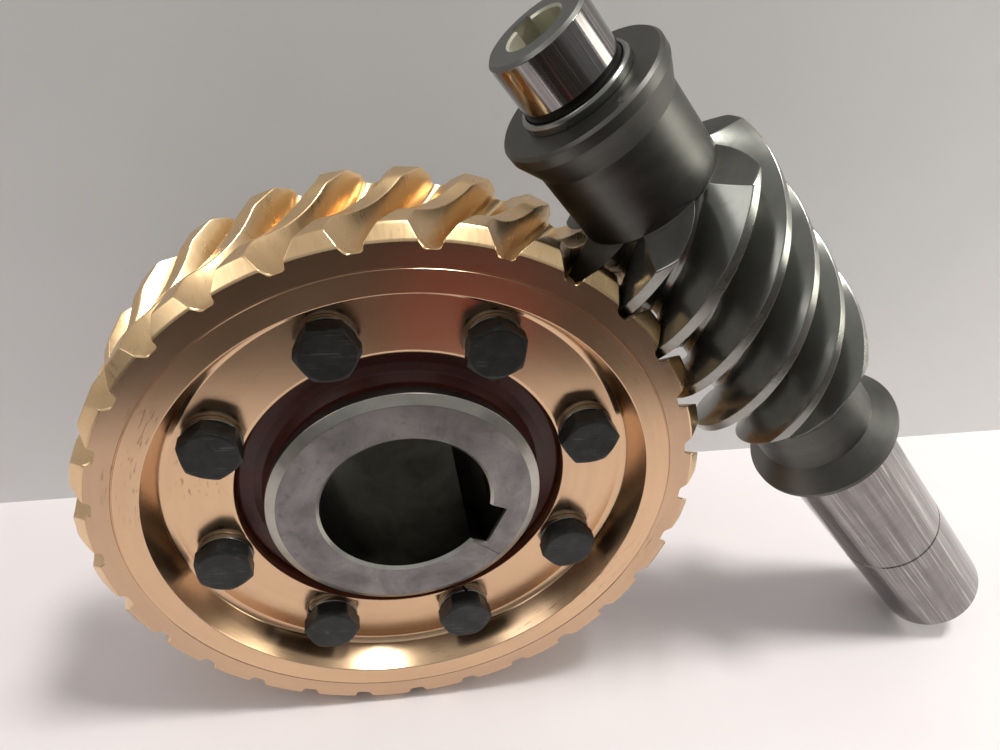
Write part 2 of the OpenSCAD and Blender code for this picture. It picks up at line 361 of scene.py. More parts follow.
def mat_bronze_turned():
    m, nt, bs = nodes_of("bronze_turned")
    n = Net(nt)
    c = n.coord()
    rad, y, ang = axis_coords(n, c, "wheel")
    # fine turning rings: noise stretched around the axis
    rings = n.noise(n.join(n.math("MULTIPLY", rad, 1.0), n.math("MULTIPLY", y, 1.0), n.math("MULTIPLY", ang, 0.0006)), 2600, 2, 0.6)
    broad = n.noise(n.join(rad, y, n.math("MULTIPLY", ang, 0.004)), 320, 3, 0.5)
    blot = n.noise(c, 26, 4, 0.55)
    fine = n.noise(c, 900, 2, 0.6)
    col = n.mix(n.range(blot, 0.35, 0.7, 0, 1), (0.715, 0.480, 0.298), (0.65, 0.44, 0.283))
    col = n.mix(n.range(broad, 0.3, 0.75, 0, 0.35), col, (0.80, 0.57, 0.36))
    # short tool scratches lying around the axis on the face
    scr = n.noise(n.join(n.math("MULTIPLY", rad, 1.0), y, n.math("MULTIPLY", ang, 0.012)), 1500, 1, 0.4)
    sel = n.range(n.noise(n.join(rad, y, n.math("MULTIPLY", ang, 0.02)), 60, 2, 0.5), 0.56, 0.66)
    scratch = n.math("MULTIPLY", n.math("MULTIPLY", n.range(scr, 0.64, 0.7), sel), n.range(rad, 0.0895, 0.0905, 1, 0))
    col = n.mix(n.math("MULTIPLY", scratch, 0.55), col, (0.28, 0.17, 0.09))
    band = n.range(rad, 0.0869, 0.0871, 0, 1)
    col = n.mix(band, col, n.mix(1.0, col, (0.84, 0.84, 0.88), "MULTIPLY"))
    rough = add(n, n.range(blot, 0.3, 0.7, 0.16, 0.23), rings, 0.05)
    h = add(n, n.math("MULTIPLY", rings, 0.5), fine, 0.03)
    h = n.math("SUBTRACT", h, n.math("MULTIPLY", scratch, 1.2))
    nor = n.bump(h, 0.16, 0.000012)
    return finish_mat(m, nt, bs, col, rough, 1.0, nor, 0.2, turn_tangent(n, c, "wheel"))


def mat_bronze_tooth():
    m, nt, bs = nodes_of("bronze_tooth")
    n = Net(nt)
    c = n.coord()
    rad, y, ang = axis_coords(n, c, "wheel")
    blot = n.noise(c, 40, 3, 0.5)
    # faint feed marks left by the cutter, across the flanks
    feed = n.noise(n.join(n.math("MULTIPLY", ang, 0.09), n.math("MULTIPLY", y, 0.25), n.math("MULTIPLY", rad, 0.05)), 900, 2, 0.5)
    grain = n.noise(c, 1200, 2, 0.6)
    col = n.mix(n.range(blot, 0.35, 0.7), (0.84, 0.60, 0.34), (0.78, 0.535, 0.30))
    rough = add(n, n.range(feed, 0.3, 0.7, 0.24, 0.31), grain, 0.05)
    nor = n.bump(add(n, n.math("MULTIPLY", feed, 0.8), grain, 0.15), 0.2, 0.000018)
    return finish_mat(m, nt, bs, col, rough, 1.0, nor)


def mat_iron_machined():
    m, nt, bs = nodes_of("hub_machined")
    n = Net(nt)
    c = n.coord()
    rad, y, ang = axis_coords(n, c, "wheel")
    rings = n.noise(n.join(rad, y, n.math("MULTIPLY", ang, 0.0008)), 2200, 2, 0.6)
    blot = n.noise(c, 55, 5, 0.62, 0.6)
    spot = n.noise(c, 420, 3, 0.6)
    col = n.mix(n.range(blot, 0.38, 0.68), (0.175, 0.165, 0.165), (0.29, 0.275, 0.27))
    col = n.mix(n.range(spot, 0.58, 0.72, 0, 0.35), col, (0.09, 0.08, 0.078))
    rough = add(n, n.range(blot, 0.3, 0.7, 0.42, 0.30), rings, 0.08)
    nor = n.bump(add(n, n.math("MULTIPLY", rings, 0.7), spot, 0.5), 0.25, 0.00005)
    return finish_mat(m, nt, bs, col, rough, 1.0, nor, 0.3, turn_tangent(n, c, "wheel"))


def mat_iron_bore_painted_shade():
    m, nt, bs = nodes_of("hub_bore_painted_shade")
    n = Net(nt)
    c = n.coord()
    rad, y, ang = axis_coords(n, c, "wheel")
    rings = n.noise(n.join(rad, y, n.math("MULTIPLY", ang, 0.0008)), 1800, 2, 0.6)
    blot = n.noise(c, 70, 4, 0.6, 0.4)
    # painted shade: the near-black base colour stands in for the shade deep inside the hub's bore
    col = n.mix(n.range(blot, 0.35, 0.7), (0.035, 0.034, 0.026), (0.070, 0.068, 0.052))
    rough = add(n, n.range(blot, 0.3, 0.7, 0.26, 0.36), rings, 0.06)
    nor = n.bump(rings, 0.25, 0.00004)
    return finish_mat(m, nt, bs, col, rough, 1.0, nor)


def mat_iron_chamfer_painted_highlight():
    m, nt, bs = nodes_of("hub_chamfer_painted_highlight")
    n = Net(nt)
    c = n.coord()
    rad, y, ang = axis_coords(n, c, "wheel")
    rings = n.noise(n.join(rad, y, n.math("MULTIPLY", ang, 0.0008)), 2400, 2, 0.6)
    blot = n.noise(c, 60, 4, 0.6, 0.4)
    # painted highlight: a colour far lighter than the machined faces stands in for the light the chamfers catch
    col = n.mix(n.range(blot, 0.35, 0.7), (0.40, 0.385, 0.345), (0.56, 0.54, 0.485))
    rough = add(n, n.range(blot, 0.3, 0.7, 0.24, 0.34), rings, 0.08)
    nor = n.bump(rings, 0.25, 0.00003)
    return finish_mat(m, nt, bs, col, rough, 1.0, nor)


def mat_iron_painted():
    m, nt, bs = nodes_of("hub_casting_primer")
    n = Net(nt)
    c = n.coord()
    big = n.noise(c, 90, 4, 0.6)
    grit = n.noise(c, 700, 3, 0.65)
    col = n.mix(n.range(big, 0.35, 0.7), (0.060, 0.014, 0.010), (0.105, 0.026, 0.018))
    col = n.mix(n.range(grit, 0.6, 0.75, 0, 0.4), col, (0.02, 0.007, 0.006))
    rough = n.range(big, 0.3, 0.7, 0.36, 0.5)
    nor = n.bump(add(n, big, grit, 0.5), 0.45, 0.00025)
    return finish_mat(m, nt, bs, col, rough, 0.0, nor, spec=0.5)


def mat_black_oxide():
    m, nt, bs = nodes_of("black_oxide")
    n = Net(nt)
    c = n.coord()
    big = n.noise(c, 160, 4, 0.6)
    grit = n.noise(c, 1500, 3, 0.6)
    # light handling scratches in two directions
    s1 = n.noise(n.mapping(c, rot=(0.2, 0.9, 0.4), scale=(60, 900, 2600)), 1.0, 1, 0.4)
    s2 = n.noise(n.mapping(c, rot=(0.7, -0.6, 1.1), scale=(70, 2400, 800)), 1.0, 1, 0.4)
    lines = n.math("MAXIMUM", n.range(s1, 0.67, 0.72), n.range(s2, 0.68, 0.73))
    lines = n.math("MULTIPLY", lines, n.range(big, 0.45, 0.6))
    col = n.mix(n.range(big, 0.35, 0.7), (0.020, 0.021, 0.021), (0.040, 0.041, 0.040))
    col = n.mix(n.math("MULTIPLY", lines, 0.35), col, (0.16, 0.16, 0.155))
    rough = n.range(grit, 0.3, 0.7, 0.30, 0.44)
    nor = n.bump(add(n, n.math("MULTIPLY", grit, 0.5), big, 0.8), 0.25, 0.00008)
    return finish_mat(m, nt, bs, col, rough, 0.4, nor, spec=0.32)


def mat_washer():
    m, nt, bs = nodes_of("washer_steel")
    n = Net(nt)
    c = n.coord()
    big = n.noise(c, 220, 4, 0.6)
    grit = n.noise(c, 1600, 3, 0.6)
    col = n.mix(n.range(big, 0.35, 0.7), (0.40, 0.39, 0.36), (0.24, 0.23, 0.21))
    nor = n.bump(add(n, grit, big, 0.6), 0.25, 0.00006)
    return finish_mat(m, nt, bs, col, n.range(grit, 0.3, 0.7, 0.28, 0.4), 1.0, nor)


def mat_worm(name, dark, light, r0, r1, aniso=0.0, ringk=0.5, depth=0.00003, blot_scale=45, kind="turned", metallic=1.0):
    m, nt, bs = nodes_of(name)
    n = Net(nt)
    c = n.coord()
    rad, s, ang = axis_coords(n, c, "worm")
    rings = n.noise(n.join(rad, s, n.math("MULTIPLY", ang, 0.0005)), 2600, 2, 0.6)
    broad = n.noise(n.join(rad, s, n.math("MULTIPLY", ang, 0.002)), 260, 3, 0.5)
    blot = n.noise(c, blot_scale, 4, 0.6, 0.4)
    grit = n.noise(c, 1400, 2, 0.6)
    if kind == "flank":
        # grinding lines that follow the thread down its flank
        helix = n.math("SUBTRACT", s, n.math("MULTIPLY", ang, LEAD * MM / (2 * math.pi)))
        rings = n.noise(n.join(n.math("MULTIPLY", rad, 1.0), n.math("MULTIPLY", helix, 0.02), 0.0), 2200, 2, 0.6)
    col = n.mix(n.range(blot, 0.35, 0.7), dark, light)
    col = n.mix(n.range(broad, 0.35, 0.7, 0, 0.25), col, tuple(min(1, x * 1.25) for x in light))
    if kind == "journal":
        # fine lengthwise colour stripes around the shaft: painted reflection, darker bands and thin light lines
        # (painted highlight) standing in for the room reflected along the journal
        arc = n.join(n.math("MULTIPLY", n.math("COSINE", ang), 0.02), n.math("MULTIPLY", n.math("SINE", ang), 0.02), n.math("MULTIPLY", s, 0.012))
        painted_reflection_stripes = n.noise(arc, 420, 3, 0.65)
        painted_highlight_lines = n.noise(arc, 1500, 2, 0.6)
        col = n.mix(n.range(painted_reflection_stripes, 0.38, 0.6), n.mix(1.0, col, (0.72, 0.71, 0.70), "MULTIPLY"), col)
        col = n.mix(n.math("MULTIPLY", n.range(painted_highlight_lines, 0.56, 0.66), 0.7), col, (0.52, 0.51, 0.49))
    rough = add(n, n.range(blot, 0.3, 0.7, r0, r1), rings, 0.06)
    nor = n.bump(add(n, n.math("MULTIPLY", rings, ringk), grit, 0.2), 0.2, depth)
    return finish_mat(m, nt, bs, col, rough, metallic, nor, aniso, turn_tangent(n, c, "worm"))


BRONZE_T, BRONZE_G = mat_bronze_turned(), mat_bronze_tooth()
IRON_M, IRON_P = mat_iron_machined(), mat_iron_painted()
# the hub's bore material is near black: painted shade inside the bore
IRON_BORE_SHADE, IRON_CHAMFER_HIGHLIGHT = mat_iron_bore_painted_shade(), mat_iron_chamfer_painted_highlight()
OXIDE, WASHER = mat_black_oxide(), mat_washer()
# journal material: polish comes from the low roughness; its lengthwise colour stripes are painted reflection
W_JOURNAL = mat_worm("worm_journal_polished_painted_reflection", (0.215, 0.20, 0.20), (0.28, 0.262, 0.262), 0.09, 0.13, 0.5, 0.6, 0.000012, kind="journal")
W_TURNED = mat_worm("worm_turned_dark", (0.088, 0.087, 0.081), (0.13, 0.128, 0.119), 0.36, 0.45, 0.25, 0.7, 0.00003)
W_FLANK = mat_worm("worm_flank_ground", (0.185, 0.187, 0.17), (0.25, 0.252, 0.232), 0.13, 0.19, 0.0, 0.8, 0.000015, kind="flank", metallic=0.86)
W_CREST = mat_worm("worm_crest_ground", (0.25, 0.25, 0.23), (0.33, 0.33, 0.305), 0.20, 0.28, 0.3, 0.6, 0.00002)
W_END = mat_worm("worm_end_face", (0.15, 0.15, 0.14), (0.21, 0.21, 0.20), 0.34, 0.42, 0.0, 0.8, 0.00004)
# near-black worm material: painted shade for the undercut groove beside the journal ring
W_UNDERCUT_SHADE = mat_worm("worm_undercut_painted_shade", (0.018, 0.018, 0.016), (0.035, 0.034, 0.031), 0.35, 0.45, 0.0, 0.6, 0.00002)
# light golden, half-metallic worm material: painted highlight standing in for the glint and lit wall seen inside the
# input bore
W_BORE_GLINT = mat_worm("worm_bore_painted_glint", (0.42, 0.40, 0.30), (0.55, 0.53, 0.42), 0.24, 0.32, 0.0, 0.6, 0.00003, metallic=0.45)
RING_ST = mat_worm("ring_steel", (0.20, 0.20, 0.185), (0.30, 0.30, 0.28), 0.2, 0.28, 0.3, 0.6, 0.00003)


# ------------------------------------------------------------------ keyed outline
def keyed_radius(deg, r, w, h, turn, grow=0.0):
    """Distance from the axis to a round bore with one keyway, along each direction."""
    d = (np.asarray(deg) - turn + 180) % 360 - 180
    a = np.radians(np.abs(d))
    rr = np.full(a.shape, r + grow)
    hw, top = w / 2 + grow * 0.35, r + h + grow * 0.35
    inside = a < math.pi / 2 - 0.01
    side = np.where(a > 1e-6, hw / np.maximum(np.sin(a), 1e-6), 1e9)
    end = top / np.maximum(np.cos(a), 1e-3)
    slot = np.minimum(side, end)
    return np.where(inside & (slot > r + grow), slot, rr)


def snap_columns(n, r, w, h, turn, offset=0.0):
    """Even directions with the nearest ones moved on to the keyway's corners."""
    deg = offset + np.arange(n) * 360.0 / n
    for sg in (-1, 1):
        for a in (math.degrees(math.atan2(w / 2, r + h)), math.degrees(math.asin(w / 2 / r)), math.degrees(math.asin(w / 2 / r)) + 0.35):
            t = turn + sg * a
            k = int(round((t - offset) / (360.0 / n)))
            for c in (k % n, (k + 1) % n, (k - 1) % n):
                base = offset + c * 360.0 / n
                t2 = base + ((t - base + 180) % 360 - 180)
                if abs(deg[c] - base) < 1e-9:
                    deg[c] = t2
                    break
    return deg


# ------------------------------------------------------------------ worm shaft
def thread_section(s, tip, root):
    """One 60 degree period of the shaft's outline for the given tip and root: radii and directions; s is not used."""
    h = tip - root
    e, f = min(0.32, 0.18 * h), min(1.0, 0.3 * h)
    k = 360 / LEAD

    def side(rho):
        t = min(1.0, max(0.0, (rho - ROOT) / (TIP - ROOT)))
        return (half_w(rho) - 0.45 * t ** 1.5) * k

    pts = []
    a_root = side(root)
    free = 30 - a_root
    pts.append((root, -30.0, 0))
    pts.append((root, -30 + free * 0.22, 0))
    fd = min(math.degrees(f / root), free * 0.6)
    pts.append((root, -(a_root + fd), 0))
    c0, c1, c2 = (root, -(a_root + fd)), (root, -a_root), (root + f, -side(root + f))
    for t in (0.25, 0.5, 0.75, 1.0):
        pts.append(((1 - t) ** 2 * c0[0] + 2 * t * (1 - t) * c1[0] + t * t * c2[0],
                    (1 - t) ** 2 * c0[1] + 2 * t * (1 - t) * c1[1] + t * t * c2[1], 0))
    r_a, r_b = root + f, tip - e
    for i in range(1, 9):
        r = r_a + (r_b - r_a) * i / 8
        pts.append((r, -side(r), 1))
    de = math.degrees(e / tip)
    p0, p1, p2 = (tip - e, -side(tip - e)), (tip, -side(tip)), (tip, -side(tip) + de)
    for t in (0.33, 0.67, 1.0):
        pts.append(((1 - t) ** 2 * p0[0] + 2 * t * (1 - t) * p1[0] + t * t * p2[0],
                    (1 - t) ** 2 * p0[1] + 2 * t * (1 - t) * p1[1] + t * t * p2[1], 2))
    a = side(tip) - de
    pts.append((tip, -a * 0.5, 2))
    left = pts
    mid = [(tip, 0.0, 2)]
    right = [(r, -d, g) for r, d, g in reversed(left[1:])]
    return left + mid + right


def build_worm():
    sk = Skin()
    per = thread_section(0, TIP, ROOT)
    n = len(per) * STARTS
    tags = [g for _, _, g in per]

    def contour(s, tip, root):
        sec = thread_section(s, tip, root)
        base = (s - PHASE) / LEAD * 360
        r = np.array([p[0] for p in sec] * STARTS)
        d = np.array([p[1] + base + 60 * k for k in range(STARTS) for p in sec])
        return r, d

    lo_s, hi_s = -75.0, 26.8
    core = lambda s: ROOT + (22.0 - ROOT) * min(1, max(0, (s - 25.4) / 1.5)) ** 1.3

    def env(s):
        if s < -59:
            t = (-59 - s) / 16.0
            return TIP + (21.5 - TIP) * t
        # conical upper end of the threads, its edge slightly rounded
        cone = 33.3 - (s - 22.9) * 2.82
        return max(smin(TIP, cone, 0.8), core(s) + 0.33)

    planes = list(np.arange(lo_s, -58.9, 0.8)) + list(np.arange(-58.6, 22.2, 0.8)) + list(np.arange(22.3, 26.81, 0.15)) + [26.8]
    planes = sorted(set(round(float(x), 4) for x in planes))
    rings = []
    for s in planes:
        r, d = contour(s, env(s), core(s))
        rings.append(sk.ring(polar_z(r, d, s)))
    seg_tag = [max(tags[i], tags[(i + 1) % len(tags)]) for i in range(len(tags))]
    # a strip between two flank points counts as flank, one between two crest points as crest
    strip = []
    for i in range(len(tags)):
        a, b = tags[i], tags[(i + 1) % len(tags)]
        strip.append(2 if (a == 2 and b == 2) else (1 if (a == 1 or b == 1) else 0))
    mat_of = {0: 2, 1: 2, 2: 3}
    for a, b, s in zip(rings, rings[1:], planes):
        for i in range(n):
            j = (i + 1) % n
            sk.f.append((a[i], a[j], b[j], b[i]))
            g = mat_of[strip[i % len(tags)]]
            if s > 22.8 and strip[i % len(tags)] == 2:
                g = 1
            sk.m.append(g)
    # upper end of the threads meets the neck
    r, d = contour(26.8, env(26.8), 22.0)
    top = sk.ring(polar_z(22.0, d, 26.95))
    sk.join(rings[-1], top, 1)
    base = (26.95 - PHASE) / LEAD * 360 - 30
    even_hi = base + np.arange(n) * 360.0 / n
    bore = snap_columns(n, 8.0, 5.0, 2.3, 100.0, base)
    prof = soften([(22.0, 29.5), (22.0, 51.1, 1.2), (25.3, 59.3, 0.25), (25.3, 62.3, 0.25), (24.4, 63.2, 0.2), (15.0, 63.2, 0.02),
                   (15.0, 66.2, 0.1), (14.3, 66.5, 0.15), (14.3, 67.9, 0.15), (15.0, 68.2, 0.1), (15.0, 82.8, 0.25), (14.0, 83.8, 0.2), (9.9, 83.8)])
    prev = top
    for r_, s_ in prof:
        deg = even_hi if s_ < 83.0 else bore
        cur = sk.ring(polar_z(r_, deg, s_))
        mat = 0
        # index 5 on the journal's foot and the undercut groove beside the ring is near black: painted shade
        if s_ <= 68.4:
            mat = 5 if s_ > 63.5 else 1
        if s_ > 82.95:
            mat = 4
        sk.join(prev, cur, mat)
        prev = cur
    # index 6 on the bore, its keyway and the bore floor is the light golden material: painted highlight
    for grow, s_, mat in ((0.65, 83.8, 4), (0.2, 83.42, 6), (0.0, 83.2, 6), (0.0, 60.0, 6), (0.0, 43.8, 6)):
        cur = sk.ring(polar_z(keyed_radius(bore, 8.0, 5.0, 2.3, 100.0, grow), bore, s_))
        sk.join(prev, cur, mat)
        prev = cur
    sk.fan(prev, (0, 0, 43.2), 6)
    # lower end: run-out cone, neck, flared collar, output journal
    base = (lo_s - PHASE) / LEAD * 360 - 30
    even_lo = base + np.arange(n) * 360.0 / n
    prof = soften([(21.2, -76.2), (21.2, -94.2, 0.6), (27.3, -101.6, 0.2), (27.6, -101.9, 0.15), (27.6, -103.5, 0.2), (27.1, -104.0, 0.15), (20.5, -104.0, 0.1),
                   (20.5, -104.6, 0.1), (21.0, -105.2, 0.1), (21.0, -172.4, 0.1), (20.6, -172.7, 0.1), (20.6, -173.3, 0.1), (21.0, -173.6, 0.1),
                   (21.0, -228.4, 0.3), (19.4, -230.0, 0.25), (7.4, -230.0, 0.15), (3.2, -225.8, 0.1), (3.2, -222.0, 0.1), (0.6, -220.6)])
    prev = rings[0]
    for r_, s_ in prof:
        cur = sk.ring(polar_z(r_, even_lo, s_))
        mat = 1 if s_ > -104.5 else 0
        if s_ < -229.9:
            mat = 4
        sk.join(prev, cur, mat)
        prev = cur
    sk.fan(prev, (0, 0, -220.3), 1)
    ob = sk.build("worm_shaft_detailed", [W_JOURNAL, W_TURNED, W_FLANK, W_CREST, W_END, W_UNDERCUT_SHADE, W_BORE_GLINT], "worm", worm_tf, sharp=30)
    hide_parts("worm_shaft")
    return ob


def build_ring():
    sk = Skin()
    n = 192
    deg = np.arange(n) * 360.0 / n
    prof = soften([(15.06, 64.2), (15.06, 63.26, 0.1), (16.9, 63.26, 0.15), (16.9, 65.2, 0.5), (16.3, 66.1, 0.5), (15.5, 66.1, 0.2), (15.06, 65.6, 0.2), (15.06, 64.3)], 4)
    first = prev = sk.ring(polar_z(prof[0][0], deg, prof[0][1]))
    for r_, s_ in prof[1:]:
        cur = sk.ring(polar_z(r_, deg, s_))
        sk.join(prev, cur)
        prev = cur
    sk.join(prev, first)
    ob = sk.build("journal_ring_detailed", [RING_ST], "fixed_ring", worm_tf, sharp=50)
    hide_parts("journal_ring")


# ------------------------------------------------------------------ bronze rim
def gap_sides(r, w):
    """Directions, relative to the gap's middle, of both gap sides at radius r in plane w."""
    h0 = math.sqrt(CUT * CUT - w * w)
    c = (A_DIST - h0) / r
    pe = 0.0 if c >= 1 else math.acos(c)
    ps = np.linspace(-pe, pe, 801)
    h = A_DIST - r * np.cos(ps)
    rho = np.sqrt(h * h + w * w)
    shift = -LEAD * np.degrees(np.arctan2(w, h)) / 360
    hw = half_w(rho) + BACKLASH / 2
    base = ps - (r * np.sin(ps) - shift) / PR
    return math.degrees(np.min(base - hw / PR)), math.degrees(np.max(base + hw / PR))


def smin(a, b, k):
    h = max(k - abs(a - b), 0) / k
    return min(a, b) - h * h * k / 4


def rim_top(w):
    a = abs(w)
    arc_r = A_DIST - THROAT
    throat = A_DIST - math.sqrt(max(arc_r * arc_r - a * a, 0.01))
    r = smin(TOOTH_R, throat, 0.9)
    d = HALF - a
    bevel = FACE_R + d - 0.3 * max(0, 1 - d / 0.45) ** 2
    return smin(r, bevel, 0.45)


def planar_fill(loops, keep):
    """Triangles over flat loops of (x, z) points, kept where keep(x, z) is true."""
    pts, edges = [], []
    for loop in loops:
        a = len(pts)
        pts += [Vector(p) for p in loop]
        edges += [(a + i, a + (i + 1) % len(loop)) for i in range(len(loop))]
    v, e, f, ov, oe, of_ = delaunay_2d_cdt(pts, edges, [], 0, 1e-7)
    tris = []
    for t in f:
        cx = sum(v[i][0] for i in t) / 3
        cz = sum(v[i][1] for i in t) / 3
        if keep(cx, cz):
            tris.append(tuple(t))
    return v, tris


HOLES = [R3(112.46 - 45 * k) for k in range(8)]
BOLT_R, HOLE_R = 62.8, 5.5


def flat_with_holes(sk, r_in, deg_in, r_out, deg_out, y, mat, ring_in=None, ring_out=None, hole_n=40):
    """Flat annulus at y with the eight bolt holes, joined to the rings at the given radii and directions; returns the
    hole rings. ring_in and ring_out are not used.
    """
    li = [(r_in * math.cos(R3(a)), r_in * math.sin(R3(a))) for a in deg_in]
    lo = [(r_out * math.cos(R3(a)), r_out * math.sin(R3(a))) for a in deg_out]
    holes = []
    for h in HOLES:
        cx, cz = BOLT_R * math.cos(h), BOLT_R * math.sin(h)
        holes.append([(cx + HOLE_R * math.cos(2 * math.pi * i / hole_n), cz + HOLE_R * math.sin(2 * math.pi * i / hole_n)) for i in range(hole_n)])
    centres = [(BOLT_R * math.cos(h), BOLT_R * math.sin(h)) for h in HOLES]

    def keep(x, z):
        r = math.hypot(x, z)
        if r < r_in or r > r_out:
            return False
        return all(math.hypot(x - a, z - b) > HOLE_R for a, b in centres)

    v, tris = planar_fill([li, lo] + holes, keep)
    a = len(sk.v)
    sk.v += [(p[0], y, p[1]) for p in v]
    for t in tris:
        sk.f.append(tuple(a + i for i in t))
        sk.m.append(mat)
    return holes


def build_rim():
    sk = Skin()
    arc = 360.0 / TEETH
    planes = []
    for a in list(np.linspace(0, 10.4, 13)) + [11.0, 11.5, 12.0, 12.5, 13.1, 14.0, 15.2, 16.4, 17.4, 18.0, 18.5, 18.8, 19.1, 19.4, 19.8, 20.6, 21.4, 22.1, 22.4, 22.55, 22.62, 22.72, 22.82, 22.92, 22.97, 23.0]:
        planes += [a, -a] if a > 0 else [0.0]
    planes = sorted(planes)
    rings = []
    tags = None
    for w in planes:
        top = rim_top(w)
        g = max(0.0, abs(w) - 22.6)
        floor = A_DIST - math.sqrt(CUT * CUT - w * w)
        wide = lambda rr: tuple(v + k_ * math.degrees(g / rr) for v, k_ in zip(gap_sides(max(rr, floor + 1e-4), w), (-1, 1)))
        base_floor = floor
        floor = floor - g
        h = top - floor
        f = min(2.4, 0.5 * h)
        e = min(0.4, 0.16 * h)
        lo_, hi_ = wide(base_floor + 1e-4)
        fd = math.degrees(f / floor)
        half_floor = (hi_ - lo_) / 2
        fd = min(fd, half_floor * 0.96)
        rows = np.linspace(floor + f, top - e, 10)
        sides = [wide(r) for r in rows]
        et = wide(top)
        de = math.degrees(e / top)
        left = []
        # land, rounded edge, side, fillet, floor
        left += [(top, et[0] - de, 0)]
        for t in (0.33, 0.67):
            r_ = (1 - t) ** 2 * top + 2 * t * (1 - t) * top + t * t * (top - e)
            a_ = (1 - t) ** 2 * (et[0] - de) + 2 * t * (1 - t) * et[0] + t * t * sides[-1][0]
            left.append((r_, a_, 0))
        for r_, sd in zip(rows[::-1], sides[::-1]):
            left.append((r_, sd[0], 1))
        c0, c1, c2 = (rows[0], sides[0][0]), (floor, lo_), (floor, lo_ + fd)
        for t in (0.17, 0.34, 0.5, 0.67, 0.83, 1.0):
            left.append(((1 - t) ** 2 * c0[0] + 2 * t * (1 - t) * c1[0] + t * t * c2[0], (1 - t) ** 2 * c0[1] + 2 * t * (1 - t) * c1[1] + t * t * c2[1], 1))
        right = [(top, et[1] + de, 0)]
        for t in (0.33, 0.67):
            r_ = (1 - t) ** 2 * top + 2 * t * (1 - t) * top + t * t * (top - e)
            a_ = (1 - t) ** 2 * (et[1] + de) + 2 * t * (1 - t) * et[1] + t * t * sides[-1][1]
            right.append((r_, a_, 0))
        for r_, sd in zip(rows[::-1], sides[::-1]):
            right.append((r_, sd[1], 1))
        c0, c1, c2 = (rows[0], sides[0][1]), (floor, hi_), (floor, hi_ - fd)
        for t in (0.17, 0.34, 0.5, 0.67, 0.83, 1.0):
            right.append(((1 - t) ** 2 * c0[0] + 2 * t * (1 - t) * c1[0] + t * t * c2[0], (1 - t) ** 2 * c0[1] + 2 * t * (1 - t) * c1[1] + t * t * c2[1], 1))
        mid = [(floor, (lo_ + hi_) / 2, 1)]
        one = left + mid + right[::-1]
        a0, a1 = one[-1][1], one[0][1] + arc
        land = [(top, a0 + (a1 - a0) * t, 0) for t in (0.25, 0.5, 0.75)]
        one = one + land
        if tags is None:
            tags = [p[2] for p in one]
        r = np.array([p[0] for p in one] * TEETH)
        d = np.array([p[1] + GAP_TURN + arc * k for k in range(TEETH) for p in one])
        rings.append((r, d, sk.ring(polar_y(r, d, w))))
    k = len(tags)
    n = k * TEETH
    for (ra, da, a), (rb, db, b), w in zip(rings, rings[1:], planes):
        for i in range(n):
            j = (i + 1) % n
            sk.f.append((a[i], a[j], b[j], b[i]))
            ta, tb = tags[i % k], tags[(i + 1) % k]
            sk.m.append(1)
    # the two flat faces, each from the toothed edge to the recess
    mono = min(np.min(np.diff(rings[0][1])), np.min(np.diff(rings[-1][1])))
    print("rim: columns", n, "planes", len(planes), "smallest column step on the faces", round(float(mono), 4))

    def turned(side, start, deg, prof):
        prev = start
        for r_, y_ in prof:
            cur = sk.ring(polar_y(r_, deg, y_))
            sk.join(prev, cur, 0)
            prev = cur
        return prev

    out = []
    for sgn, (r, d, ring) in ((-1, rings[0]), (1, rings[-1])):
        even = np.linspace(d[0], d[0] + 360, n, endpoint=False)
        own = np.maximum.accumulate(d) + np.arange(n) * 1e-5
        y = sgn * HALF
        a = sk.ring(polar_y(91.9, own, y))
        sk.join(ring, a, 0)
        for r_, t in ((91.2, 0.12), (90.5, 0.28), (89.8, 0.45), (89.1, 0.64), (88.4, 0.83)):
            b = sk.ring(polar_y(r_, even * t + own * (1 - t), y))
            sk.join(a, b, 0)
            a = b
        if sgn < 0:
            prof = [(87.45, -HALF), (87.3, -HALF), (87.12, -HALF + 0.25), (86.88, -HALF + 0.25), (86.7, -HALF), (86.5, -HALF)]
            prof += soften([(82.0, -HALF), (79.3, -HALF, 0.5), (75.55, -13.2, 1.6), (73.9, -12.2)], 5) + [(73.3, -12.2)]
        else:
            prof = soften([(87.6, HALF), (79.3, HALF, 0.5), (75.5, 1.0, 1.6), (73.9, 0.0)], 5) + [(73.3, 0.0)]
        out.append((turned(sgn, a, even, prof), even))
    # web: front and back with bolt holes, and the bore that sits on the hub's spigot
    (front_ring, even_f), (back_ring, even_b) = out
    nb = 240
    deg_b = np.arange(nb) * 360.0 / nb
    hf = flat_with_holes(sk, 54.9, deg_b, 73.3, even_f, -12.2, 0)
    hb = flat_with_holes(sk, 54.4, deg_b, 73.3, even_b, 0.0, 0)
    bore = [(54.9, -12.2), (54.3, -12.2), (53.75, -12.0), (53.5, -11.5), (53.5, -0.4), (53.8, 0.0), (54.4, 0.0)]
    prev = None
    for r_, y_ in bore:
        cur = sk.ring(polar_y(r_, deg_b, y_))
        if prev:
            sk.join(prev, cur, 0)
        prev = cur
    for a, b in zip(hf, hb):
        ra = sk.ring([(p[0], -12.2, p[1]) for p in a])
        rb = sk.ring([(p[0], 0.0, p[1]) for p in b])
        sk.join(ra, rb, 0)
    ob = sk.build("bronze_rim_detailed", [BRONZE_T, BRONZE_G], "wheel", sharp=32)
    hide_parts("bronze_rim")
    return ob


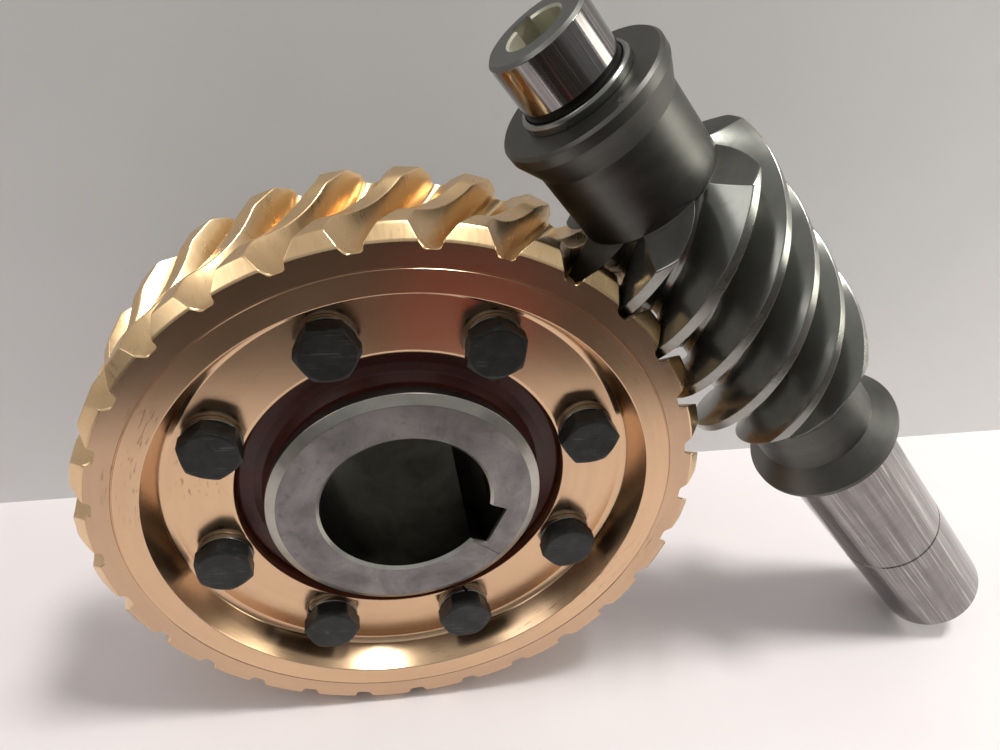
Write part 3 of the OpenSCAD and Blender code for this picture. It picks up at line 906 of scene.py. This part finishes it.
# ------------------------------------------------------------------ hub
def build_hub():
    sk = Skin()
    n = 300
    turn = -19.1
    deg = snap_columns(n, 27.5, 16.0, 4.6, turn, 0.0)
    front = soften([(40.4, -20.8), (40.9, -20.8, 0.3), (44.1, -19.0, 0.35), (44.1, -15.5, 0.3), (43.1, -14.8, 0.4), (43.1, -12.0, 1.0), (45.3, -9.2, 1.0), (48.1, -8.4, 0.5),
                    (52.2, -8.4, 0.4), (53.42, -7.4, 0.2), (53.42, -0.02, 0.02)])
    first = None
    prev = None
    for r_, y_ in front:
        cur = sk.ring(polar_y(r_, deg, y_))
        if prev is not None:
            # index 3 on the nose's outer chamfer is the lighter chamfer material: a painted highlight
            mat = (3 if r_ > 40.95 and y_ < -18.8 else 0) if y_ < -15.3 else 1
            sk.join(prev, cur, mat)
        else:
            first = cur
        prev = cur
    # flange with the bolt holes
    deg_e = np.array(deg)
    hf = flat_with_holes(sk, 53.42, deg_e, 72.6, deg_e, 0.01, 1)
    rim = soften([(72.6, 0.01), (73.6, 1.0, 0.3), (73.6, 11.0, 0.3), (72.6, 12.0)]) + [(72.0, 12.0)]
    prev = None
    for r_, y_ in rim:
        cur = sk.ring(polar_y(r_, deg, y_))
        if prev is not None:
            sk.join(prev, cur, 1)
        prev = cur
    hb = flat_with_holes(sk, 52.8, deg_e, 72.0, deg_e, 12.0, 1)
    for a, b in zip(hf, hb):
        ra = sk.ring([(p[0], 0.01, p[1]) for p in a])
        rb = sk.ring([(p[0], 12.0, p[1]) for p in b])
        sk.join(ra, rb, 1)
    back = soften([(52.8, 12.0), (52.0, 12.0), (49.1, 12.0, 1.5), (45.5, 13.4, 1.5), (44.1, 17.0, 1.5), (44.1, 47.2, 0.3), (42.1, 49.2, 0.3), (38.0, 49.2)], 4)
    prev = None
    for r_, y_ in back:
        cur = sk.ring(polar_y(r_, deg, y_))
        if prev is not None:
            sk.join(prev, cur, 1 if y_ < 46.0 else 0)
        prev = cur
    # keyed bore, from the back face to the front face
    for grow, y_ in ((1.0, 49.2), (0.35, 48.55), (0.0, 48.2), (0.0, 30.0), (0.0, 12.0), (0.0, -5.0), (0.0, -19.8), (0.35, -20.15), (1.0, -20.8)):
        cur = sk.ring(polar_y(keyed_radius(deg, 27.5, 16.0, 4.6, turn, grow), deg, y_))
        # index 2 along the bore is the near-black material: painted shade inside the bore
        # index 3 on the chamfers at both bore mouths is the lighter chamfer material: a painted highlight
        sk.join(prev, cur, 2 if -20.0 < y_ < 48.5 else 3)
        prev = cur
    for grow in (1.25,):
        cur = sk.ring(polar_y(keyed_radius(deg, 27.5, 16.0, 4.6, turn, grow), deg, -20.8))
        sk.join(prev, cur, 0)
        prev = cur
    sk.join(prev, first, 0)
    ob = sk.build("wheel_hub_detailed", [IRON_M, IRON_P, IRON_BORE_SHADE, IRON_CHAMFER_HIGHLIGHT], "wheel", sharp=32)
    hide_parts("wheel_hub")
    return ob


# ------------------------------------------------------------------ fasteners
AF = 17.0
HEAD_TURN = [5.5, 28, 8.5, 19, 2.5, 59.5, 38.5, 41.5]
SEAT = -14.3


def hex_radius(deg, af, turn):
    d = (np.asarray(deg) - turn) % 60 - 30
    r = af / 2 / np.cos(np.radians(d))
    cap = af / math.sqrt(3) - 0.12
    k = 0.25
    h = np.maximum(k - np.abs(r - cap), 0) / k
    return np.minimum(r, cap) - h * h * k / 4


def spot_tf(k):
    h = HOLES[k]

    def tf(p):
        return p + np.array((BOLT_R * math.cos(h), 0.0, BOLT_R * math.sin(h)))

    return tf


def build_bolt(k):
    sk = Skin()
    n = 144
    turn = HEAD_TURN[k]
    deg = turn + np.arange(n) * 360.0 / n
    hexr = hex_radius(deg, AF, turn)
    top = SEAT - 6.4
    rc = AF / 2 - 0.3
    y_edge = top + np.maximum(hexr - rc, 0) * 0.61
    rings = [(np.full(n, 3.0), np.full(n, top + 0.05)), (np.full(n, rc - 0.6), np.full(n, top)), (np.full(n, rc - 0.12), np.full(n, top + 0.01)), (np.full(n, rc + 0.05), np.full(n, top + 0.07)),
             (hexr - 0.10, y_edge - 0.06), (hexr - 0.02, y_edge + 0.04), (hexr, y_edge + 0.2), (hexr, np.full(n, SEAT - 0.75)), (hexr - 0.12, np.full(n, SEAT - 0.6)),
             (np.full(n, 8.25), np.full(n, SEAT - 0.58)), (np.full(n, 8.2), np.full(n, SEAT - 0.45)), (np.full(n, 8.2), np.full(n, SEAT)),
             (np.full(n, 5.0), np.full(n, SEAT))]
    y = 12.0 + 8.4 + 2.5
    rings += [(np.full(n, 5.0), np.full(n, 19.2))]
    t = 19.35
    while t < y - 1.0:
        rings += [(np.full(n, 5.0), np.full(n, t)), (np.full(n, 4.98), np.full(n, t + 0.2)), (np.full(n, 4.2), np.full(n, t + 0.72)), (np.full(n, 4.2), np.full(n, t + 0.82)), (np.full(n, 4.98), np.full(n, t + 1.34))]
        t += 1.5
    rings += [(np.full(n, 4.6), np.full(n, y - 0.55)), (np.full(n, 4.0), np.full(n, y)), (np.full(n, 2.0), np.full(n, y))]
    prev = None
    for r, yy in rings:
        cur = sk.ring(polar_y(r, deg, yy))
        if prev is not None:
            sk.join(prev, cur)
        else:
            sk.fan(cur, (0, top + 0.06, 0))
        prev = cur
    sk.fan(prev, (0, y, 0))
    ob = sk.build("hex_bolt_%d_detailed" % (k + 1), [OXIDE], "wheel", spot_tf(k), sharp=28)
    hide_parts("hex_bolt_%d" % (k + 1))


def build_nut(k):
    sk = Skin()
    n = 144
    turn = 17.0 * k + 8
    deg = turn + np.arange(n) * 360.0 / n
    hexr = hex_radius(deg, AF, turn)
    lo, hi = 12.0, 20.4
    rc = AF / 2 - 0.3
    ch = np.maximum(hexr - rc, 0) * 0.61
    one = np.ones(n)
    rings = [(5.08 * one, (lo + 0.6) * one), (5.9 * one, lo * one), (rc * one, lo * one), (hexr - 0.08, lo + ch), (hexr, lo + ch + 0.2), (hexr, hi - ch - 0.2), (hexr - 0.08, hi - ch),
             (rc * one, hi * one), (6.0 * one, hi * one), (5.08 * one, (hi - 0.7) * one)]
    prev = first = None
    for r, yy in rings:
        cur = sk.ring(polar_y(r, deg, yy))
        if prev is not None:
            sk.join(prev, cur)
        else:
            first = cur
        prev = cur
    sk.join(prev, first)
    ob = sk.build("hex_nut_%d_detailed" % (k + 1), [OXIDE], "wheel", spot_tf(k), sharp=28)
    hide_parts("hex_nut_%d" % (k + 1))


def build_washer(k):
    sk = Skin()
    n = 120
    y0, y1 = SEAT, -12.2
    sect = soften([(7.1, y0), (8.95, y0, 0.25), (9.05, y1 - 1.0, 0.3), (9.0, y1, 0.3), (5.35, y1, 0.2), (5.3, y0, 0.2), (7.0, y0)], 3)
    start = 63 * k + 200
    rings = []
    for i in range(n + 1):
        t = i / n
        pts = []
        for r, y in sect:
            slant = (y - (y0 + y1) / 2) * 3.2
            a = start + 3.2 + t * (360 - 6.4) + slant
            pts.append((r * math.cos(R3(a)), y, r * math.sin(R3(a))))
        rings.append(sk.ring(pts))
    for a, b in zip(rings, rings[1:]):
        sk.join(a, b)
    for ring in (rings[0], rings[-1]):
        sk.f.append(tuple(ring))
        sk.m.append(0)
    ob = sk.build("spring_washer_%d_detailed" % (k + 1), [WASHER], "wheel", spot_tf(k), sharp=40)
    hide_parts("spring_washer_%d" % (k + 1))


build_worm()
build_ring()
build_rim()
build_hub()
for k in range(8):
    build_bolt(k)
    build_nut(k)
    build_washer(k)

# ------------------------------------------------------------------ stage
FLOOR_Z = -TOOTH_R * MM


def stage_mat(name, col, rough, noise_k, col2):
    m, nt, bs = nodes_of(name)
    n = Net(nt)
    c = n.coord()
    a = n.noise(c, 9, 3, 0.5)
    b = n.noise(c, 300, 2, 0.5)
    base = n.mix(n.range(a, 0.3, 0.7), col, col2)
    nor = n.bump(b, 0.08, 0.0002)
    finish_mat(m, nt, bs, base, rough, 0.0, nor, spec=0.35)
    return m


def plane(name, pts, mat):
    me = bpy.data.meshes.new(name)
    me.from_pydata([Vector(p) for p in pts], [], [(0, 1, 2, 3)])
    me.materials.append(mat)
    ob = bpy.data.objects.new(name, me)
    bpy.context.scene.collection.objects.link(ob)
    return ob


TABLE = stage_mat("stage_table", (0.80, 0.745, 0.765), 0.45, 0, (0.83, 0.78, 0.80))
WALL = stage_mat("stage_wall", (0.69, 0.685, 0.69), 0.6, 0, (0.73, 0.72, 0.725))
WALL_L, WALL_R = 0.045, 0.170
plane("stage_floor", [(-1.5, -0.212, FLOOR_Z), (1.5, -0.212, FLOOR_Z), (1.5, WALL_R, FLOOR_Z), (-1.5, WALL_L, FLOOR_Z)], TABLE)
plane("stage_backdrop", [(-1.5, WALL_L, FLOOR_Z), (1.5, WALL_R, FLOOR_Z), (1.5, WALL_R, FLOOR_Z + 0.5), (-1.5, WALL_L, FLOOR_Z + 0.5)], WALL)
CARD = stage_mat("stage_card_red", (0.20, 0.035, 0.03), 0.5, 0, (0.16, 0.03, 0.028))
plane("stage_card", [(0.039, -0.42, FLOOR_Z - 0.002), (0.145, -0.42, FLOOR_Z - 0.002), (0.110, -0.235, FLOOR_Z - 0.002), (0.012, -0.235, FLOOR_Z - 0.002)], CARD)

# ------------------------------------------------------------------ camera
AZ, EL, ROLL = R3(14.46), R3(33.76), R3(6.94)
f = Vector((math.sin(AZ) * math.cos(EL), math.cos(AZ) * math.cos(EL), -math.sin(EL)))
r = f.cross(Vector((0, 0, 1))).normalized()
u = r.cross(f)
r2 = math.cos(ROLL) * r + math.sin(ROLL) * u
u2 = -math.sin(ROLL) * r + math.cos(ROLL) * u
cam = bpy.data.cameras.new("camera")
cam.sensor_width = 36
cam.lens = 36 * 0.8191
cam.clip_start, cam.clip_end = 0.005, 20
cam_ob = bpy.data.objects.new("camera", cam)
bpy.context.scene.collection.objects.link(cam_ob)
m3 = Matrix((r2, u2, -f)).transposed()
cam_ob.matrix_world = Matrix.Translation(Vector((-24.4, -213.7, 184.2)) * MM) @ m3.to_4x4()
bpy.context.scene.camera = cam_ob


# ------------------------------------------------------------------ lights
def area(name, loc, target, size, power, col=(1, 1, 1), size_y=None):
    l = bpy.data.lights.new(name, "AREA")
    l.shape = "RECTANGLE"
    l.size, l.size_y = size, size_y or size
    l.energy = power
    l.color = col
    o = bpy.data.objects.new(name, l)
    bpy.context.scene.collection.objects.link(o)
    o.location = loc
    o.rotation_mode = "QUATERNION"
    o.rotation_quaternion = (Vector(target) - Vector(loc)).to_track_quat("-Z", "Y")
    return o


area("light_ceiling", (0.32, -0.14, 1.4), (0.05, 0.0, 0), 0.28, 13.5, (1.0, 0.99, 0.94), 0.24)
area("light_left", (-1.1, -0.3, 0.8), (0, 0, 0), 0.5, 2.2, (1.0, 0.99, 0.97), 0.6)
area("light_right", (1.0, -0.11, 0.33), (0.1, 0, 0.1), 0.36, 3.4, (1.0, 0.985, 0.88), 0.5)

world = bpy.data.worlds.new("studio")
bpy.context.scene.world = world
world.use_nodes = True
nt = world.node_tree
nt.nodes.clear()
out = nt.nodes.new("ShaderNodeOutputWorld")
bg = nt.nodes.new("ShaderNodeBackground")
nt.links.new(bg.outputs[0], out.inputs[0])
n = Net(nt)
tc = nt.nodes.new("ShaderNodeTexCoord")
d = n.xyz(tc.outputs["Generated"])
col = n.ramp(n.range(d[2], -1, 1, 0, 1), [(0.0, (0.075, 0.062, 0.050)), (0.47, (0.11, 0.098, 0.088)), (0.53, (0.30, 0.30, 0.30)), (0.75, (0.55, 0.55, 0.54)), (1.0, (0.7, 0.7, 0.68))])
nt.links.new(col, bg.inputs[0])
bg.inputs[1].default_value = 0.75

bpy.context.scene.view_settings.view_transform = "Standard"

bpy.context.view_layer.update()
